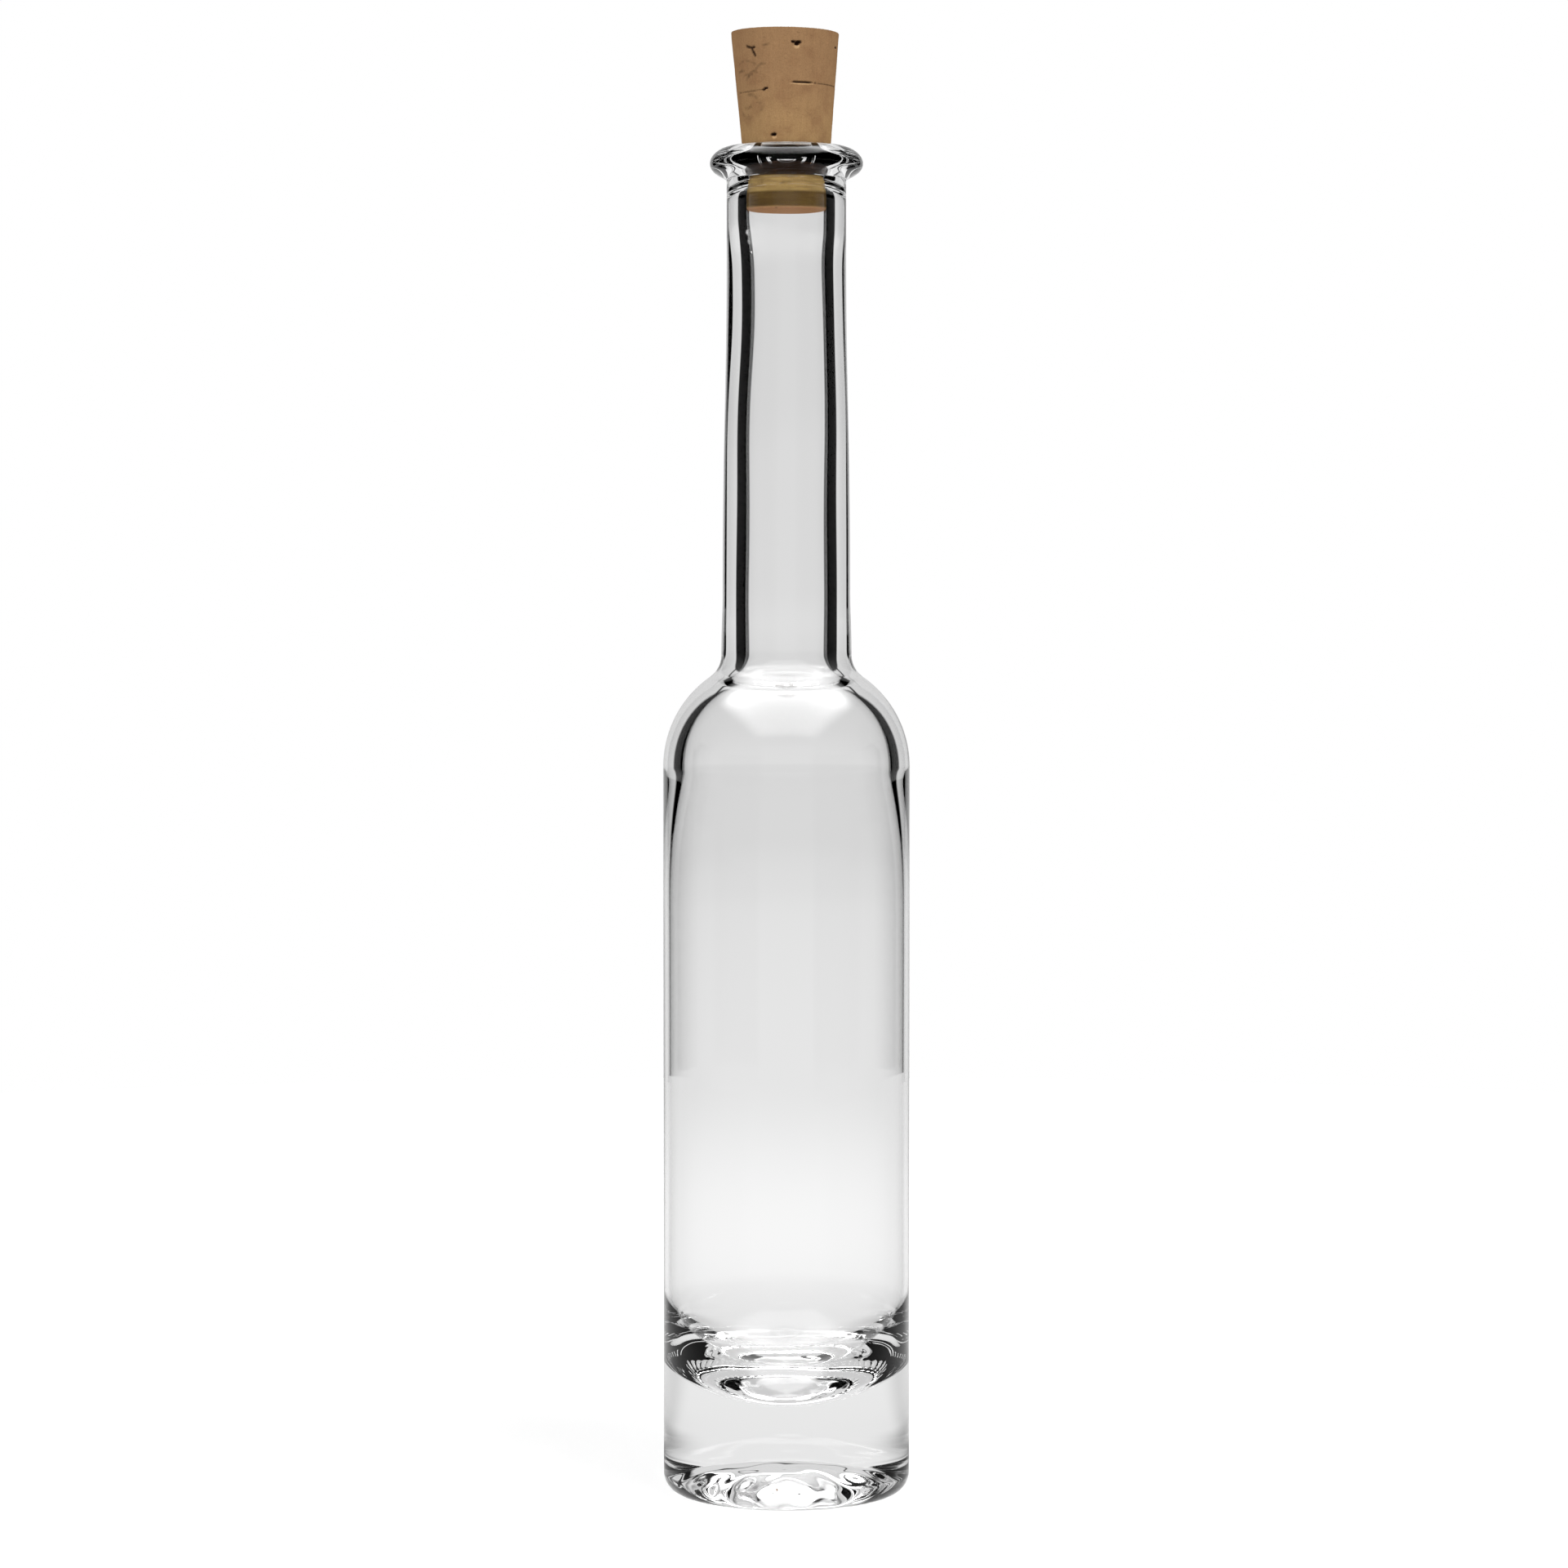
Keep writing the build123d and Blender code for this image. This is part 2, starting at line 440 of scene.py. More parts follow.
def bezier(a, b, c, d, count):
    """Points on a cubic curve with four control points."""
    points = []
    for i in range(count + 1):
        t = i / count
        w = ((1 - t) ** 3, 3 * t * (1 - t) ** 2, 3 * t * t * (1 - t), t**3)
        points.append(tuple(sum(k * p[n] for k, p in zip(w, (a, b, c, d))) for n in (0, 1)))
    return points


def joined(*runs):
    """One path through several runs of points."""
    path = []
    for run in runs:
        for p in run:
            if not path or abs(p[0] - path[-1][0]) + abs(p[1] - path[-1][1]) > same_place:
                path.append(p)
    return path


def rounded(path, corner, radius, count):
    """The path with its corner nearest to a point rounded to a circle of this radius, in a count
    of steps."""
    off = [(r - corner[0]) ** 2 + (z - corner[1]) ** 2 for r, z in path]
    at = off.index(min(off))
    tip = Vector(path[at])
    back = (Vector(path[at - 1]) - tip).normalized()
    onward = (Vector(path[at + 1]) - tip).normalized()
    half_angle = acos(max(-1.0, min(1.0, back.dot(onward)))) / 2
    reach = radius / tan(half_angle)
    weight = sin(half_angle)
    start = tip + back * reach
    end = tip + onward * reach
    curve = []
    for i in range(count + 1):
        t = i / count
        near, middle, far = (1 - t) ** 2, 2 * t * (1 - t) * weight, t * t
        point = (start * near + tip * middle + end * far) / (near + middle + far)
        curve.append((point.x, point.y))
    before = [p for p in path[:at] if (Vector(p) - tip).length > reach]
    after = [p for p in path[at + 1 :] if (Vector(p) - tip).length > reach]
    return joined(before, curve, after)


def neck_fillet(neck_radius, arc_radius, fillet_radius):
    """The arc that joins a shoulder arc to an upright wall of the neck, and the angle on the
    shoulder where it starts. The shoulder arc's centre is at body_radius - shoulder_radius."""
    across = neck_radius + fillet_radius - (body_radius - shoulder_radius)
    rise = sqrt((arc_radius + fillet_radius) ** 2 - across**2)
    leaves = atan2(rise, across) / pi * 180
    centre = (neck_radius + fillet_radius, shoulder_height + rise)
    return arc(centre, fillet_radius, leaves + 180, 180, 16), leaves


def glass_profile():
    """Outside then inside of the glass, from the top of its dome to the floor of its cavity. The
    second value is the number of points on the outside. Each curve's last number is its steps."""
    lip_bottom = glass_height - lip_height
    lip_middle = glass_height - lip_height / 2
    overhang = lip_radius - neck_top_radius
    belly = lip_belly_share * lip_height / 2
    bearing_outer = body_radius - heel_radius
    punt_radius = (bearing_inner**2 + punt_depth**2) / (2 * punt_depth)
    punt_edge = atan2(punt_radius - punt_depth, bearing_inner) / pi * 180
    centre = (body_radius - shoulder_radius, shoulder_height)
    foot, foot_leaves = neck_fillet(neck_foot_radius, shoulder_radius, neck_foot_fillet)
    foot_top = foot[-1][1]
    waist_height = foot_top + neck_foot_length
    foot_bend = neck_bend_share * neck_foot_length
    taper_top = lip_bottom - neck_straight_length
    neck_bend = neck_bend_share * (taper_top - waist_height)
    crown_radius = mouth_radius + mouth_round + crown_width
    outside = joined(
        arc((0, punt_depth - punt_radius), punt_radius, 90, punt_edge, 40),
        straight((bearing_inner, 0), (bearing_outer, 0), fine_step),
        arc((bearing_outer, heel_radius), heel_radius, -90, 0, 22),
        straight((body_radius, heel_radius), (body_radius, shoulder_height), body_step),
        arc(centre, shoulder_radius, 0, foot_leaves, 44),
        foot,
        bezier(
            (neck_foot_radius, foot_top),
            (neck_foot_radius, foot_top + foot_bend),
            (neck_waist_radius, waist_height - foot_bend),
            (neck_waist_radius, waist_height),
            10,
        ),
        bezier(
            (neck_waist_radius, waist_height),
            (neck_waist_radius, waist_height + neck_bend),
            (neck_top_radius, taper_top - neck_bend),
            (neck_top_radius, taper_top),
            24,
        ),
        straight((neck_top_radius, taper_top), (neck_top_radius, lip_bottom), neck_step),
        bezier(
            (neck_top_radius, lip_bottom),
            (
                neck_top_radius + lip_under_share * overhang,
                lip_bottom + lip_rise_share * lip_height,
            ),
            (lip_radius, lip_middle - belly),
            (lip_radius, lip_middle),
            20,
        ),
        bezier(
            (lip_radius, lip_middle),
            (lip_radius, lip_middle + belly),
            (neck_top_radius + lip_crown_share * overhang, glass_height),
            (crown_radius, glass_height),
            20,
        ),
    )
    outside = rounded(outside, (bearing_inner, 0), bearing_fillet, 6)
    inner_arc = shoulder_radius - shoulder_wall
    bore_foot, bore_foot_leaves = neck_fillet(bore_foot_radius, inner_arc, bore_foot_fillet)
    bore_foot.reverse()
    cavity_radius = body_radius - body_wall
    cavity_top_radius = body_radius - shoulder_wall
    wall_bottom = shoulder_height - wall_taper_length
    wall_bend = wall_bend_share * wall_taper_length
    wall_settle = wall_settle_share * wall_taper_length
    cavity_floor = punt_depth + floor_thickness
    ledge_top = glass_height - ledge_top_depth
    ledge_bottom = glass_height - ledge_bottom_depth
    choke_height = cork_bottom - choke_length
    bore_foot_across = bore_foot_radius - body_radius + shoulder_radius
    bore_foot_height = shoulder_height + sqrt(inner_arc**2 - bore_foot_across**2)
    choke_widening = choke_widening_share * (choke_height - bore_foot_height)
    choke_end = choke_height - choke_widening
    choke_bend = choke_bend_share * choke_length
    widening_bend = choke_bend_share * choke_widening
    inside = joined(
        straight((crown_radius, glass_height), (mouth_radius, glass_height), fine_step),
        straight((mouth_radius, glass_height), (ledge_radius, ledge_top), fine_step),
        straight((ledge_radius, ledge_top), (bore_radius, ledge_bottom), fine_step),
        straight((bore_radius, ledge_bottom), (bore_radius, cork_bottom), seat_step),
        bezier(
            (bore_radius, cork_bottom),
            (bore_radius, cork_bottom - choke_bend),
            (choke_radius, choke_height + choke_bend),
            (choke_radius, choke_height),
            20,
        ),
        bezier(
            (choke_radius, choke_height),
            (choke_radius, choke_height - widening_bend),
            (bore_foot_radius, choke_end + widening_bend),
            (bore_foot_radius, choke_end),
            30,
        ),
        straight((bore_foot_radius, choke_end), bore_foot[0], cavity_step),
        bore_foot,
        arc(centre, inner_arc, bore_foot_leaves, 0, 44),
        bezier(
            (cavity_top_radius, shoulder_height),
            (cavity_top_radius, shoulder_height - wall_bend),
            (cavity_radius, wall_bottom + wall_settle),
            (cavity_radius, wall_bottom),
            36,
        ),
        straight((cavity_radius, wall_bottom), (cavity_radius, bowl_top), cavity_step),
        bezier(
            (cavity_radius, bowl_top),
            (cavity_radius, bowl_top - bowl_round_share * bowl_depth),
            (bowl_round_share * cavity_radius, cavity_floor),
            (0, cavity_floor),
            48,
        ),
    )
    inside = rounded(inside, (mouth_radius, glass_height), mouth_round, 8)
    inside = rounded(inside, (ledge_radius, ledge_top), ledge_round, 8)
    inside = rounded(inside, (bore_radius, ledge_bottom), ledge_round, 8)
    return joined(outside, inside), len(outside)


def lathe(name, path, segments, moved, extra=((), ())):
    """A closed mesh turned about the axis from a path whose ends lie on it. moved gives each
    vertex's offset (radial, upwards) in millimetres from its index, radius, height and angle.
    extra is the points and faces of another closed form in the same mesh."""
    verts = []
    rows = []
    for i, (r, z) in enumerate(path):
        if i in (0, len(path) - 1):
            _, up = moved(i, 0.0, z, 0.0)
            rows.append([len(verts)] * segments)
            verts.append((0.0, 0.0, (z + up) * MM))
            continue
        rows.append(range(len(verts), len(verts) + segments))
        for j in range(segments):
            angle = 2 * pi * j / segments
            out, up = moved(i, r, z, angle)
            x = (r + out) * cos(angle) * MM
            y = (r + out) * sin(angle) * MM
            verts.append((x, y, (z + up) * MM))
    faces = []
    for low, high in zip(rows, rows[1:]):
        for j in range(segments):
            k = (j + 1) % segments
            ring = dict.fromkeys((low[j], low[k], high[k], high[j]))
            faces.append(tuple(ring))
    start = len(verts)
    verts.extend(extra[0])
    faces.extend(tuple(start + i for i in face) for face in extra[1])
    mesh = bpy.data.meshes.new(name)
    mesh.from_pydata(verts, [], faces)
    mesh.validate()
    mesh.shade_smooth()
    made = bpy.data.objects.new(name, mesh)
    scene.collection.objects.link(made)
    return made


def stretch(value, low, high):
    """0 below a limit, 1 above another, and smooth between them."""
    share = max(0.0, min(1.0, (value - low) / (high - low)))
    return share * share * (3 - 2 * share)


def wave(r, z, angle, length_round, length_along, seed):
    """A smooth random value at a place on the wall."""
    x = r * cos(angle) / length_round
    y = r * sin(angle) / length_round
    return noise.noise(Vector((x, y, z / length_along + seed)))


def wave_round(angle, waves, seed):
    """A smooth random value at an angle round the axis. It changes faster with more waves."""
    return noise.noise(Vector((cos(angle) * waves, sin(angle) * waves, seed)))


def under_base(r, z, angle):
    """How far the underside is raised: waves in the dome, and the gaps between the lugs."""
    dome = 1 - stretch(r, bearing_inner - punt_fade_begins, bearing_inner - punt_fade_ends)
    up = punt_wave * dome * wave(r, z, angle, punt_wave_length, punt_wave_length, seed=3.0)
    skew = lug_stray * wave_round(angle, lug_stray_waves, seed=7.0)
    turn = lug_count * angle + skew + lug_slant * (r - bearing_inner)
    gap = stretch(cos(turn), gap_begins, gap_ends)
    ring = stretch(r, lug_inner_radius, lug_inner_radius + lug_edge)
    ring *= 1 - stretch(r, lug_outer_radius - lug_edge, lug_outer_radius)
    uneven = lug_even_share + lug_uneven_share * wave_round(angle, lug_uneven_waves, seed=9.0)
    return up + lug_depth * gap * ring * uneven


def inside_wall(r, z, angle):
    """How far the inside is moved outwards and upwards by the waves of the blown glass."""
    above_bowl = stretch(z, bowl_top - bowl_fade, bowl_top)
    in_bowl = 1 - above_bowl
    in_body = above_bowl * (1 - stretch(z, shoulder_fade_low, body_fade_high))
    in_neck = stretch(z, shoulder_fade_low, bore_fade_high)
    in_neck *= 1 - stretch(z, cork_bottom - cork_fade_begins, cork_bottom - cork_fade_ends)
    bowl = in_bowl * bowl_wave * wave(r, z, angle, bowl_wave_length, bowl_wave_length, seed=0.5)
    body = in_body * wall_wave * wave(r, z, angle, wall_wave_round, wall_wave_along, seed=2.0)
    neck = in_neck * bore_wave * wave(r, z, angle, bore_wave_round, bore_wave_along, seed=4.0)
    off = (z - bore_shift_height) / bore_shift_reach
    neck += bore_shift * exp(-off * off) * cos(angle) * in_neck
    steep = stretch(r, bowl_flat_radius, bowl_steep_radius)
    return body + neck + bowl * steep, bowl * (1 - steep)


def bubble():
    """Points and faces of the bubble, which is hollow, so its faces look inwards."""
    turn = radians(bubble_azimuth)
    centre = Vector((bubble_radius * sin(turn), -bubble_radius * cos(turn), bubble_height))
    rings, around = 8, 14
    verts = [centre + Vector((0, 0, -bubble_size)), centre + Vector((0, 0, bubble_size))]
    for i in range(1, rings):
        tilt = pi * i / rings - pi / 2
        for j in range(around):
            spin = 2 * pi * j / around
            outward = Vector((cos(tilt) * cos(spin), cos(tilt) * sin(spin), sin(tilt)))
            verts.append(centre + bubble_size * outward)
    faces = []
    for j in range(around):
        k = (j + 1) % around
        faces.append((0, 2 + j, 2 + k))
        last = 2 + (rings - 2) * around
        faces.append((1, last + k, last + j))
        for i in range(rings - 2):
            low = 2 + i * around
            faces.append((low + k, low + j, low + around + j, low + around + k))
    return [tuple(v * MM) for v in verts], faces


def blown_glass():
    """The bottle as one thick-walled closed form, with the slight waves of blown glass, a knurled
    ring to stand on and a bubble in its neck."""
    path, outside = glass_profile()

    def moved(i, r, z, angle):
        if i >= outside:
            return inside_wall(r, z, angle)
        if r < lug_outer_radius and z < punt_depth + fine_step:
            return 0.0, under_base(r, z, angle)
        return 0.0, 0.0

    made = lathe("glass_bottle_blown", path, glass_columns, moved, bubble())
    made.data.materials.append(clear_glass())
    return made


def cork_profile():
    """The cork's outline, from the middle of its lower end to the middle of its top."""
    bend_height = cork_bottom + cork_straight_length
    path = joined(
        straight((0, cork_bottom), (cork_end_radius, cork_bottom), cork_end_step),
        straight((cork_end_radius, cork_bottom), (cork_end_radius, bend_height), fine_step),
        straight((cork_end_radius, bend_height), (cork_rim_radius, glass_height), fine_step),
        straight((cork_rim_radius, glass_height), (cork_top_radius, cork_top), cork_side_step),
        straight((cork_top_radius, cork_top), (0, cork_top), fine_step),
    )
    path = rounded(path, (cork_end_radius, cork_bottom), cork_end_bevel, 4)
    return rounded(path, (cork_top_radius, cork_top), cork_top_round, 4)


def off_line(point, start, end):
    """How far a point is from the line between two others."""
    along = end - start
    share = max(0.0, min(1.0, (point - start).dot(along) / along.length_squared))
    return (point - start - along * share).length


def on_cork(azimuth, height):
    """A place on the cork's side as a flat point in millimetres."""
    return Vector((radians(azimuth) * cork_mark_radius, height))


def noise_on_cork(here, scale, seed):
    """A smooth random value at a flat point on the cork's side."""
    return noise.noise(Vector((here.x * scale, here.y * scale, seed)))


def cork_marks(azimuth, height):
    """Depth, darkness and paleness of the cork at a place on its side."""
    here = on_cork(azimuth, height)
    depth = dark = pale = 0.0
    for centre, level, half_width, half_height, deep, rim in cork_holes:
        offset = here - on_cork(centre, level)
        if abs(offset.x) > 2 * half_width or abs(offset.y) > 4 * half_height:
            continue
        reach = sqrt((offset.x / half_width) ** 2 + (offset.y / half_height) ** 2)
        depth = max(depth, deep * (1 - stretch(reach, *hole_fade_shares)))
        dark = max(dark, 1 - stretch(reach, *dark_edge_shares))
        if rim:
            lower = (offset.y + pale_edge_drop_share * half_height) / half_height
            reach = sqrt((offset.x / half_width) ** 2 + lower**2)
            pale = max(pale, 1 - stretch(reach, *pale_edge_shares))
    uneven = noise_on_cork(here, vein_broken_scale, seed=5.0)
    broken = vein_whole_share + vein_broken_share * uneven
    stray = vein_stray * noise_on_cork(here, vein_stray_scale, seed=1.0)
    for half_width, darkness, deep, points in cork_veins:
        begins = points[0][0] - vein_margin_before
        ends = points[-1][0] + vein_margin_after
        if not begins < azimuth < ends:
            continue
        places = [on_cork(*point) for point in points]
        off = min(off_line(here, a, b) for a, b in zip(places, places[1:])) + stray
        full, none = (share * half_width for share in vein_fade_shares)
        reach = 1 - stretch(off, full, none)
        depth = max(depth, deep * reach)
        dark = max(dark, darkness * reach * (1.0 if deep else broken))
    return depth, dark, pale * (1 - dark)


def cut_cork():
    """The cork, turned, with its holes and cracks cut in, a slightly slanted top and a slight
    lean. Its mesh carries how dark and how pale the marks are at each vertex."""
    darks = []
    pales = []

    def rough(r, z, angle, scale, upright_scale):
        """A smooth random value at a place on the cork."""
        x = r * cos(angle) * scale
        y = r * sin(angle) * scale
        return noise.noise(Vector((x, y, z * upright_scale)))

    def moved(i, r, z, angle):
        azimuth = atan2(cos(angle), -sin(angle)) / pi * 180
        depth = dark = pale = 0.0
        if r > cork_end_radius - cork_mark_margin:
            depth, dark, pale = cork_marks(azimuth, z)
        darks.append(dark)
        pales.append(pale)
        free = stretch(z, glass_height, glass_height + cork_free_fade)
        at_top = stretch(z, cork_top - cork_top_fade, cork_top)
        grain = rough(r, z, angle, cork_grain_scale, cork_grain_upright_scale)
        grit = rough(r, z, angle, cork_grit_scale, cork_grit_scale)
        out = (cork_grain * grain + cork_grit * grit) * free - depth
        up = at_top * (cork_top_grit * grit - cork_top_slant * r * cos(angle))
        return (out if r > cork_still_radius else 0.0), up

    made = lathe("cork_stopper_cut", cork_profile(), cork_columns, moved)
    for name, values in (("dark", darks), ("pale", pales)):
        made.data.attributes.new(name, "FLOAT", "POINT").data.foreach_set("value", values)
    for vertex in made.data.vertices:
        vertex.co.x -= cork_lean * max(0.0, vertex.co.z - glass_height * MM)
    made.data.materials.append(natural_cork())
    return made


def shader_tree(name):
    """A new material's node tree, with its Principled shader."""
    material = bpy.data.materials.new(name)
    material.use_nodes = True
    tree = material.node_tree
    return material, tree, tree.nodes["Principled BSDF"]


def clear_glass():
    """Clear glass, with weaker head-on reflections than real glass has."""
    material, tree, shader = shader_tree("clear_glass")
    shader.inputs["Base Color"].default_value = (1.0, 1.0, 1.0, 1.0)
    shader.inputs["Roughness"].default_value = 0.0
    shader.inputs["IOR"].default_value = glass_ior
    shader.inputs["Transmission Weight"].default_value = 1.0
    tint = (glass_reflection_share,) * 3
    shader.inputs["Specular Tint"].default_value = (*tint, 1.0)
    return material


def natural_cork():
    """Cut cork: mottled and finely streaked, dark in its holes and veins, with painted shade in
    the hollow ones, and olive low down with a darker band and an orange end. Its almost black
    ring in the lip is painted shade, which stands in for the dark lens seen there."""
    material, tree, shader = shader_tree("natural_cork")
    place = add(tree, "ShaderNodeTexCoord").outputs["Object"]
    parts = add(tree, "ShaderNodeSeparateXYZ")
    tree.links.new(place, parts.inputs[0])
    height = maths(tree, "DIVIDE", parts.outputs[2], MM)

    mottle = cloud(tree, place, *mottle_noise)
    streak = cloud(tree, place, *streak_noise)
    grain = cloud(tree, place, *grain_noise)
    pores = cloud(tree, place, *pore_noise)
    layers = cloud(tree, place, *layer_noise)

    high = smooth_step(tree, height, high_colour_begins, high_colour_full)
    colour = blend(tree, high, cork_low_colour, cork_high_colour)
    mottled = smooth_step(tree, mottle, *mottle_range)
    colour = blend(tree, mottled, colour, mottle_colour)
    layered = smooth_step(tree, layers, *layer_range)
    inserted_tone = blend(tree, layered, inserted_colour, inserted_layer_colour)
    dark_band = inside(tree, height, dark_band_low, dark_band_high, dark_band_soft)
    inserted_tone = blend(tree, maths(tree, "MULTIPLY", dark_band, dark_band_share), inserted_tone, dark_band_colour)
    inserted = smooth_step(tree, height, inserted_begins, inserted_full)
    colour = blend(tree, inserted, colour, inserted_tone)
    end = smooth_step(tree, height, cork_end_begins, cork_end_full)
    colour = blend(tree, end, colour, cork_end_colour)
    # Painted shade: the cork is almost black where the lip surrounds it
    shade_ring = inside(tree, height, shade_ring_low, shade_ring_high, shade_ring_soft)
    colour = blend(tree, shade_ring, colour, painted_shade_colour)
    fleck = smooth_step(tree, pores, *fleck_range)
    colour = blend(tree, fleck, colour, fleck_colour)
    colour = blend(tree, mark(tree, "pale"), colour, pale_edge_colour)
    # The cork's dark marks, with painted shade in its holes and cracks
    colour = blend(tree, mark(tree, "dark"), colour, mark_and_shade_colour)

    level = maths(tree, "MULTIPLY_ADD", streak, grain_streak_level, grain_base_level)
    level = maths(tree, "MULTIPLY_ADD", grain, grain_fine_level, level)
    shade = add(tree, "ShaderNodeVectorMath", operation="SCALE")
    tree.links.new(colour, shade.inputs[0])
    tree.links.new(level, shade.inputs["Scale"])
    tree.links.new(shade.outputs[0], shader.inputs["Base Color"])

    bump = add(tree, "ShaderNodeBump")
    bump.inputs["Strength"].default_value = relief_strength
    bump.inputs["Distance"].default_value = relief_depth * MM
    relief = maths(tree, "MULTIPLY_ADD", streak, relief_streak_share, grain)
    tree.links.new(relief, bump.inputs["Height"])
    tree.links.new(bump.outputs[0], shader.inputs["Normal"])
    shader.inputs["Roughness"].default_value = cork_roughness
    shader.inputs["Specular IOR Level"].default_value = 0.0
    return material


def cloud(tree, place, scale, detail, stretched):
    """A noise texture's value over a place, with the place scaled along each axis."""
    scaled = add(tree, "ShaderNodeVectorMath", operation="MULTIPLY")
    scaled.inputs[1].default_value = stretched
    tree.links.new(place, scaled.inputs[0])
    made = add(tree, "ShaderNodeTexNoise")
    made.inputs["Scale"].default_value = scale
    made.inputs["Detail"].default_value = detail
    tree.links.new(scaled.outputs[0], made.inputs["Vector"])
    return made.outputs["Fac"]


def mark(tree, name):
    """The value that the mesh carries under a name."""
    return add(tree, "ShaderNodeAttribute", attribute_name=name).outputs["Fac"]


def blend(tree, share, lower, upper):
    """A colour between two, which are plain colours or other nodes' results."""
    made = add(tree, "ShaderNodeMix", data_type="RGBA")
    tree.links.new(share, made.inputs["Factor"])
    for socket, colour in ((made.inputs["A"], lower), (made.inputs["B"], upper)):
        if isinstance(colour, tuple):
            socket.default_value = (*colour, 1.0)
        else:
            tree.links.new(colour, socket)
    return made.outputs["Result"]


def add(tree, kind, **settings):
    """A new node with its settings."""
    made = tree.nodes.new(kind)
    for key, value in settings.items():
        setattr(made, key, value)
    return made


def maths(tree, operation, a, b=0.0, c=0.0):
    """A Math node's result, from numbers or other nodes' results."""
    made = add(tree, "ShaderNodeMath", operation=operation)
    for socket, value in zip(made.inputs, (a, b, c)):
        if isinstance(value, (int, float)):
            socket.default_value = value
        else:
            tree.links.new(value, socket)
    return made.outputs[0]


def smooth_step(tree, value, low, high, from_level=0.0, to_level=1.0):
    """A value that turns smoothly from one level to another between two limits."""
    made = add(tree, "ShaderNodeMapRange", interpolation_type="SMOOTHSTEP")
    made.inputs["From Min"].default_value = low
    made.inputs["From Max"].default_value = high
    made.inputs["To Min"].default_value = from_level
    made.inputs["To Max"].default_value = to_level
    tree.links.new(value, made.inputs["Value"])
    return made.outputs["Result"]


def ray_kinds(tree):
    """Whether a ray comes from the camera, whether it comes off or through gloss or glass, and
    whether it has passed through glass, each as 1 or 0."""
    path = add(tree, "ShaderNodeLightPath").outputs
    through = path["Is Transmission Ray"]
    return path["Is Camera Ray"], maths(tree, "MAXIMUM", path["Is Glossy Ray"], through), through


def inside(tree, value, low, high, soft):
    """1 between two limits and 0 outside them, with soft edges."""
    rise = smooth_step(tree, value, low - soft, low + soft)
    fall = smooth_step(tree, value, high - soft, high + soft, 1.0, 0.0)
    return maths(tree, "MULTIPLY", rise, fall)


def turned_by(tree, azimuth, centre):
    """How far an azimuth is from a centre, in degrees, without a sign."""
    turn = maths(tree, "SUBTRACT", azimuth, centre)
    return maths(tree, "ABSOLUTE", maths(tree, "WRAP", turn, 180.0, -180.0))


def beside_cards(tree, level, azimuth, elevation, through):
    """A level with the dark cards cut out of it, by azimuth and elevation. What a card leaves of
    the light shows only to rays that have passed through glass."""
    for centre, half_width, soft, low, high, level_soft, left_share in dark_cards:
        turn = turned_by(tree, azimuth, centre)
        shown = smooth_step(tree, turn, half_width - soft, half_width + soft)
        beyond = maths(tree, "SUBTRACT", 1.0, inside(tree, elevation, low, high, level_soft))
        left = maths(tree, "MULTIPLY", through, left_share)
        shown = maths(tree, "MAXIMUM", maths(tree, "MAXIMUM", shown, beyond), left)
        level = maths(tree, "MULTIPLY", level, shown)
    return level


def studio_world():
    """White behind the object and plain soft light on it. In gloss and glass, a pale studio with
    dark cards round it and a soft light overhead."""
    world = bpy.data.worlds.new("studio")
    world.use_nodes = True
    scene.world = world
    tree = world.node_tree
    background = tree.nodes["Background"]
    background.inputs["Color"].default_value = (1.0, 1.0, 1.0, 1.0)
    direction = add(tree, "ShaderNodeTexCoord").outputs["Generated"]
    parts = add(tree, "ShaderNodeSeparateXYZ")
    tree.links.new(direction, parts.inputs[0])
    x, y, z = parts.outputs
    degrees = 180 / pi
    elevation = maths(tree, "MULTIPLY", maths(tree, "ARCSINE", z), degrees)
    azimuth = maths(tree, "MULTIPLY", maths(tree, "ARCTAN2", x, y), degrees)
    from_camera, glassy, through = ray_kinds(tree)

    # The walls, and the far table below them
    walls = smooth_step(tree, elevation, wall_low, wall_high, 1.0, wall_share)
    table = smooth_step(
        tree, elevation, far_table_elevation, horizon_elevation, far_table_level, horizon_level
    )
    room = maths(tree, "MULTIPLY", walls, table)
    room = beside_cards(tree, room, azimuth, elevation, through)

    # The overhead light, as a rectangle on a level plane
    up = maths(tree, "MAXIMUM", z, least_rise)
    across = maths(tree, "ABSOLUTE", maths(tree, "DIVIDE", x, up))
    along = maths(tree, "DIVIDE", y, up)
    shape = smooth_step(
        tree, across, overhead_width - overhead_soft, overhead_width + overhead_soft, 1.0, 0.0
    )
    reach = inside(tree, along, -overhead_front, overhead_back, overhead_soft)
    shape = maths(tree, "MULTIPLY", shape, reach)
    room = maths(tree, "ADD", room, maths(tree, "MULTIPLY", shape, overhead_level))

    # The camera sees white, gloss and glass see the room, and the rest gets plain soft light
    seen = maths(tree, "ADD", maths(tree, "MULTIPLY", room, glassy), from_camera)
    lit = maths(tree, "SUBTRACT", 1.0, maths(tree, "MAXIMUM", glassy, from_camera))
    strength = maths(tree, "ADD", seen, maths(tree, "MULTIPLY", lit, soft_light_level))
    tree.links.new(strength, background.inputs["Strength"])


def lamp(name, place, size, strength):
    """A square soft light that faces the middle of the object."""
    data = bpy.data.lights.new(name, "AREA")
    data.size = size
    data.energy = strength
    made = bpy.data.objects.new(name, data)
    made.location = place
    aim = Vector((0, 0, camera_aim_height * MM))
    made.rotation_euler = (aim - made.location).to_track_quat("-Z", "Y").to_euler()
    made.visible_glossy = False
    made.visible_transmission = False
    scene.collection.objects.link(made)
    return made


def less(tree, level, loss):
    """A level without the share of it that is lost."""
    return maths(tree, "MULTIPLY", level, maths(tree, "SUBTRACT", 1.0, loss))


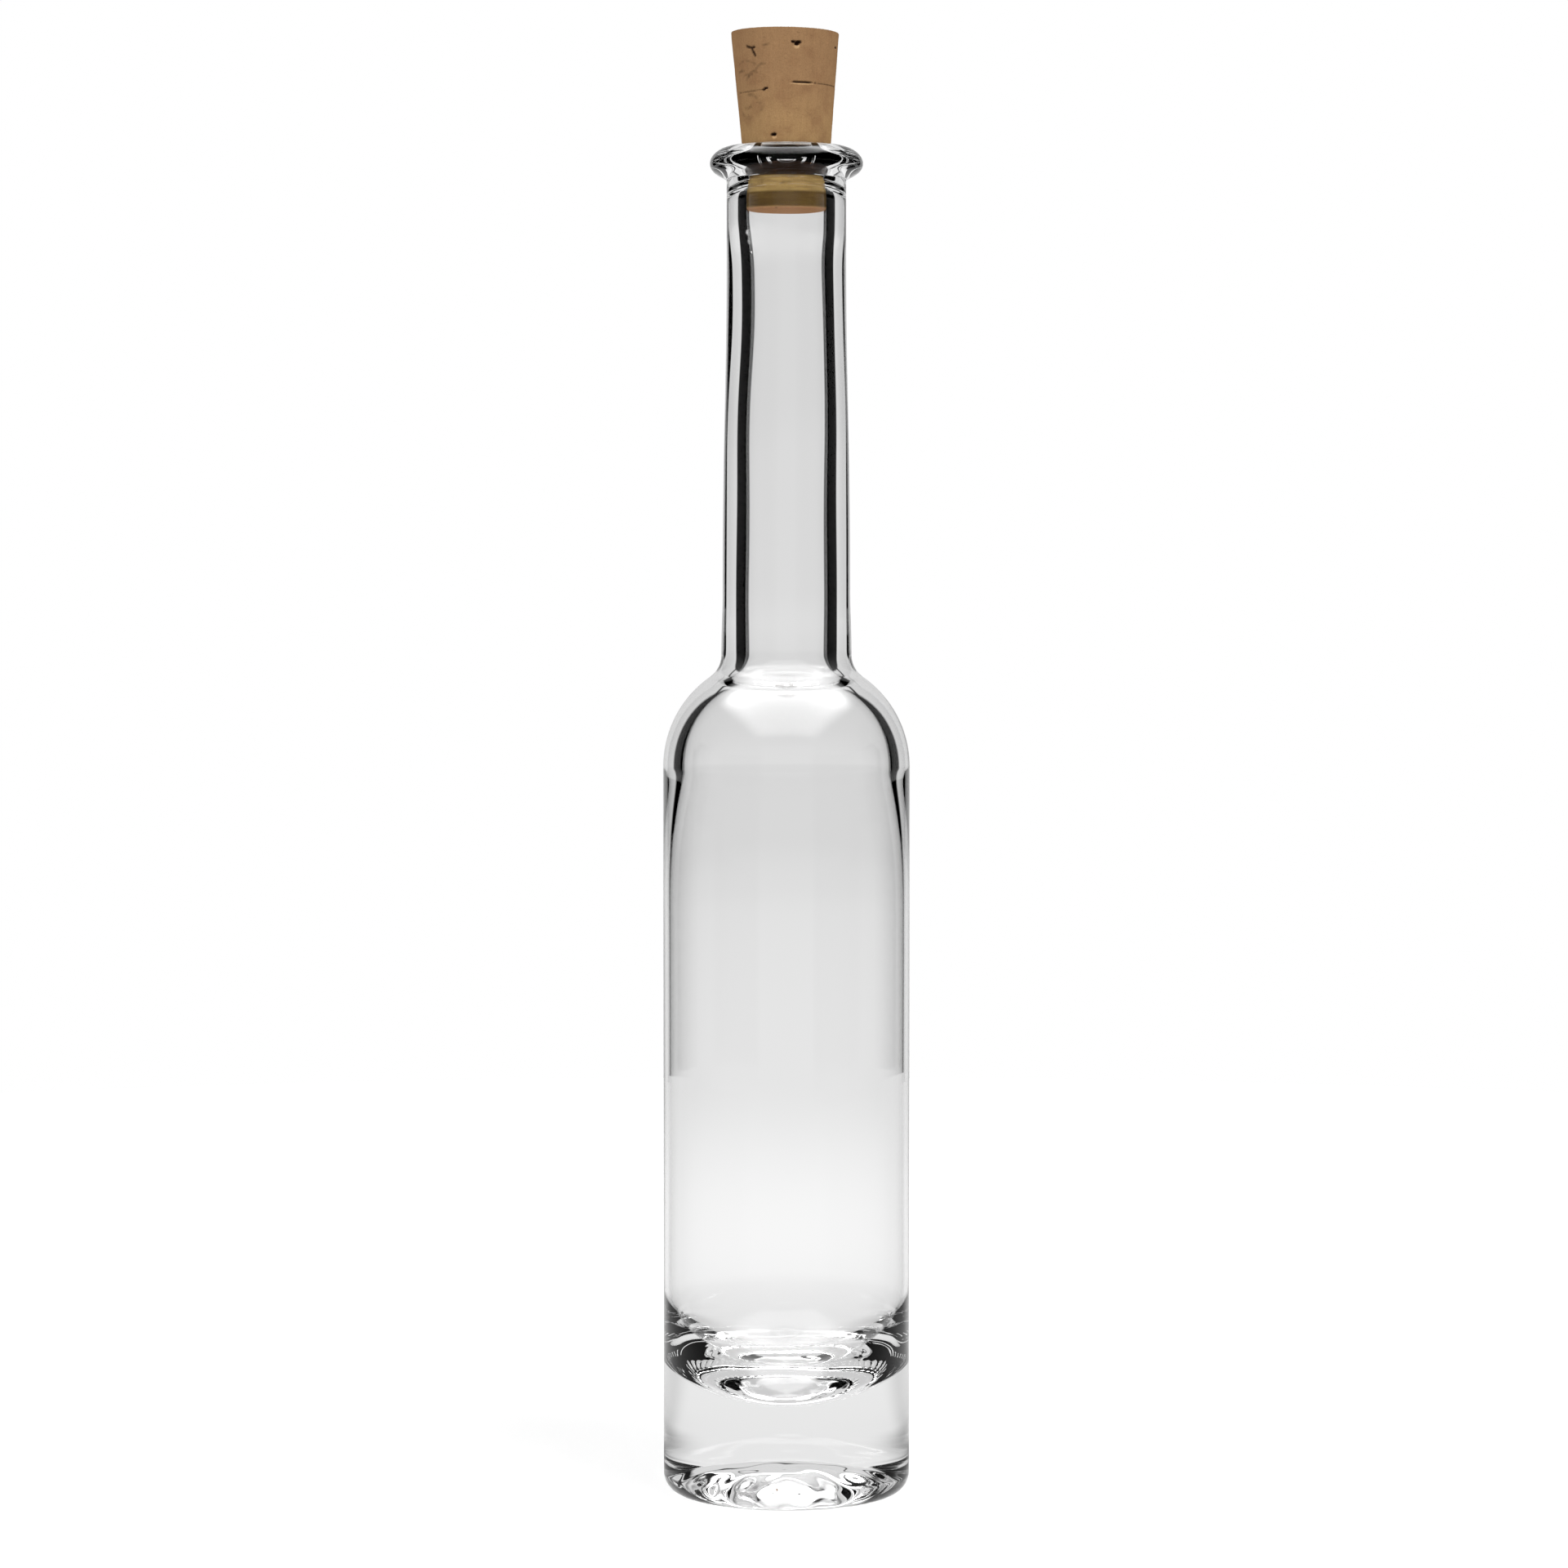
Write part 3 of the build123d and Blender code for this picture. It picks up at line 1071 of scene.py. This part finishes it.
def table_light(tree, away, sideways, through):
    """How bright the table is in gloss and glass, by the distance from the bottle and by how far
    sideways of it a place is. through is 1 for what is seen through glass."""
    # Dimmer near the bottle: painted shadow of the bottle
    near = smooth_step(tree, away, table_near, table_middle, near_table_level, table_level)
    far = smooth_step(tree, away, table_middle, table_radius, table_level, far_table_level)
    level = maths(tree, "MINIMUM", near, far)

    # Close to the bottle, darker on its left and right: painted shade of the bottle on the table
    close = inside(tree, away, close_low, close_high, close_soft)
    beside = smooth_step(
        tree, sideways, close_begins_share, close_ends_share, 0.0, 1.0 - close_light_share
    )
    level = less(tree, level, maths(tree, "MULTIPLY", beside, close))

    # Further out, the sides are a little darker through glass, and black where glass mirrors them
    beyond = smooth_step(tree, away, side_low, table_radius, 1.0 - side_light_share, 0.0)
    outward = smooth_step(tree, away, mirrored_side_low, mirrored_side_high)
    mirrored = less(tree, outward, through)
    loss = maths(tree, "ADD", maths(tree, "MULTIPLY", through, beyond), mirrored)
    aside = smooth_step(tree, sideways, side_begins_share, side_ends_share)
    level = less(tree, level, maths(tree, "MULTIPLY", loss, aside))

    # The left and right ends of the rim fade into the darker walls behind them
    loss = smooth_step(tree, away, side_low, table_radius, 0.0, 1.0 - rim_light_share)
    at_end = smooth_step(tree, sideways, rim_begins_share, rim_ends_share)
    loss = maths(tree, "MULTIPLY", loss, at_end)
    return less(tree, level, maths(tree, "MULTIPLY", loss, through))


def mix(tree, share, lower, upper):
    """A mixture of two shaders."""
    made = add(tree, "ShaderNodeMixShader")
    for socket, value in zip(made.inputs, (share, lower, upper)):
        tree.links.new(value, socket)
    return made.outputs[0]


def glow(tree, strength):
    """A white glow."""
    made = add(tree, "ShaderNodeEmission")
    tree.links.new(strength, made.inputs["Strength"])
    return made.outputs[0]


def pale_floor():
    """A round white table top. The camera sees a glow with the object's shadow on it, and gloss and
    glass see the light of table_light."""
    turns = [2 * pi * i / table_sides for i in range(table_sides)]
    rim = [(table_radius * cos(a), table_radius * sin(a), 0) for a in turns]
    mesh = bpy.data.meshes.new("floor")
    mesh.from_pydata(rim, [], [tuple(range(table_sides))])
    made = bpy.data.objects.new("floor", mesh)
    scene.collection.objects.link(made)

    material, tree, shader = shader_tree("pale_floor")
    shader.inputs["Base Color"].default_value = table_colour
    shader.inputs["Roughness"].default_value = 1.0
    shader.inputs["Specular IOR Level"].default_value = 0.0
    parts = add(tree, "ShaderNodeSeparateXYZ")
    tree.links.new(add(tree, "ShaderNodeTexCoord").outputs["Object"], parts.inputs[0])
    x, y, z = parts.outputs
    away = maths(tree, "SQRT", maths(tree, "MULTIPLY_ADD", x, x, maths(tree, "MULTIPLY", y, y)))
    distance = maths(tree, "MAXIMUM", away, least_distance)
    sideways = maths(tree, "DIVIDE", maths(tree, "ABSOLUTE", x), distance)
    from_camera, glassy, through = ray_kinds(tree)

    camera_level = smooth_step(tree, away, glow_low, glow_high, glow_near_level, glow_far_level)
    shadowed = add(tree, "ShaderNodeBsdfDiffuse")
    shadowed.inputs["Color"].default_value = shadow_colour
    both = add(tree, "ShaderNodeAddShader")
    tree.links.new(shadowed.outputs[0], both.inputs[0])
    tree.links.new(glow(tree, camera_level), both.inputs[1])
    surface = mix(tree, from_camera, shader.outputs[0], both.outputs[0])
    in_glass = glow(tree, table_light(tree, away, sideways, through))
    surface = mix(tree, glassy, surface, in_glass)
    tree.links.new(surface, tree.nodes["Material Output"].inputs["Surface"])
    material.cycles.emission_sampling = "NONE"
    mesh.materials.append(material)


studio_world()
pale_floor()
lamp("key", key_place, key_size, key_strength)
lamp("fill", fill_place, fill_size, fill_strength)

glass = blown_glass()
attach(glass, "bottle")
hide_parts("glass_bottle")
cork = cut_cork()
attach(cork, "stopper")
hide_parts("cork_stopper")
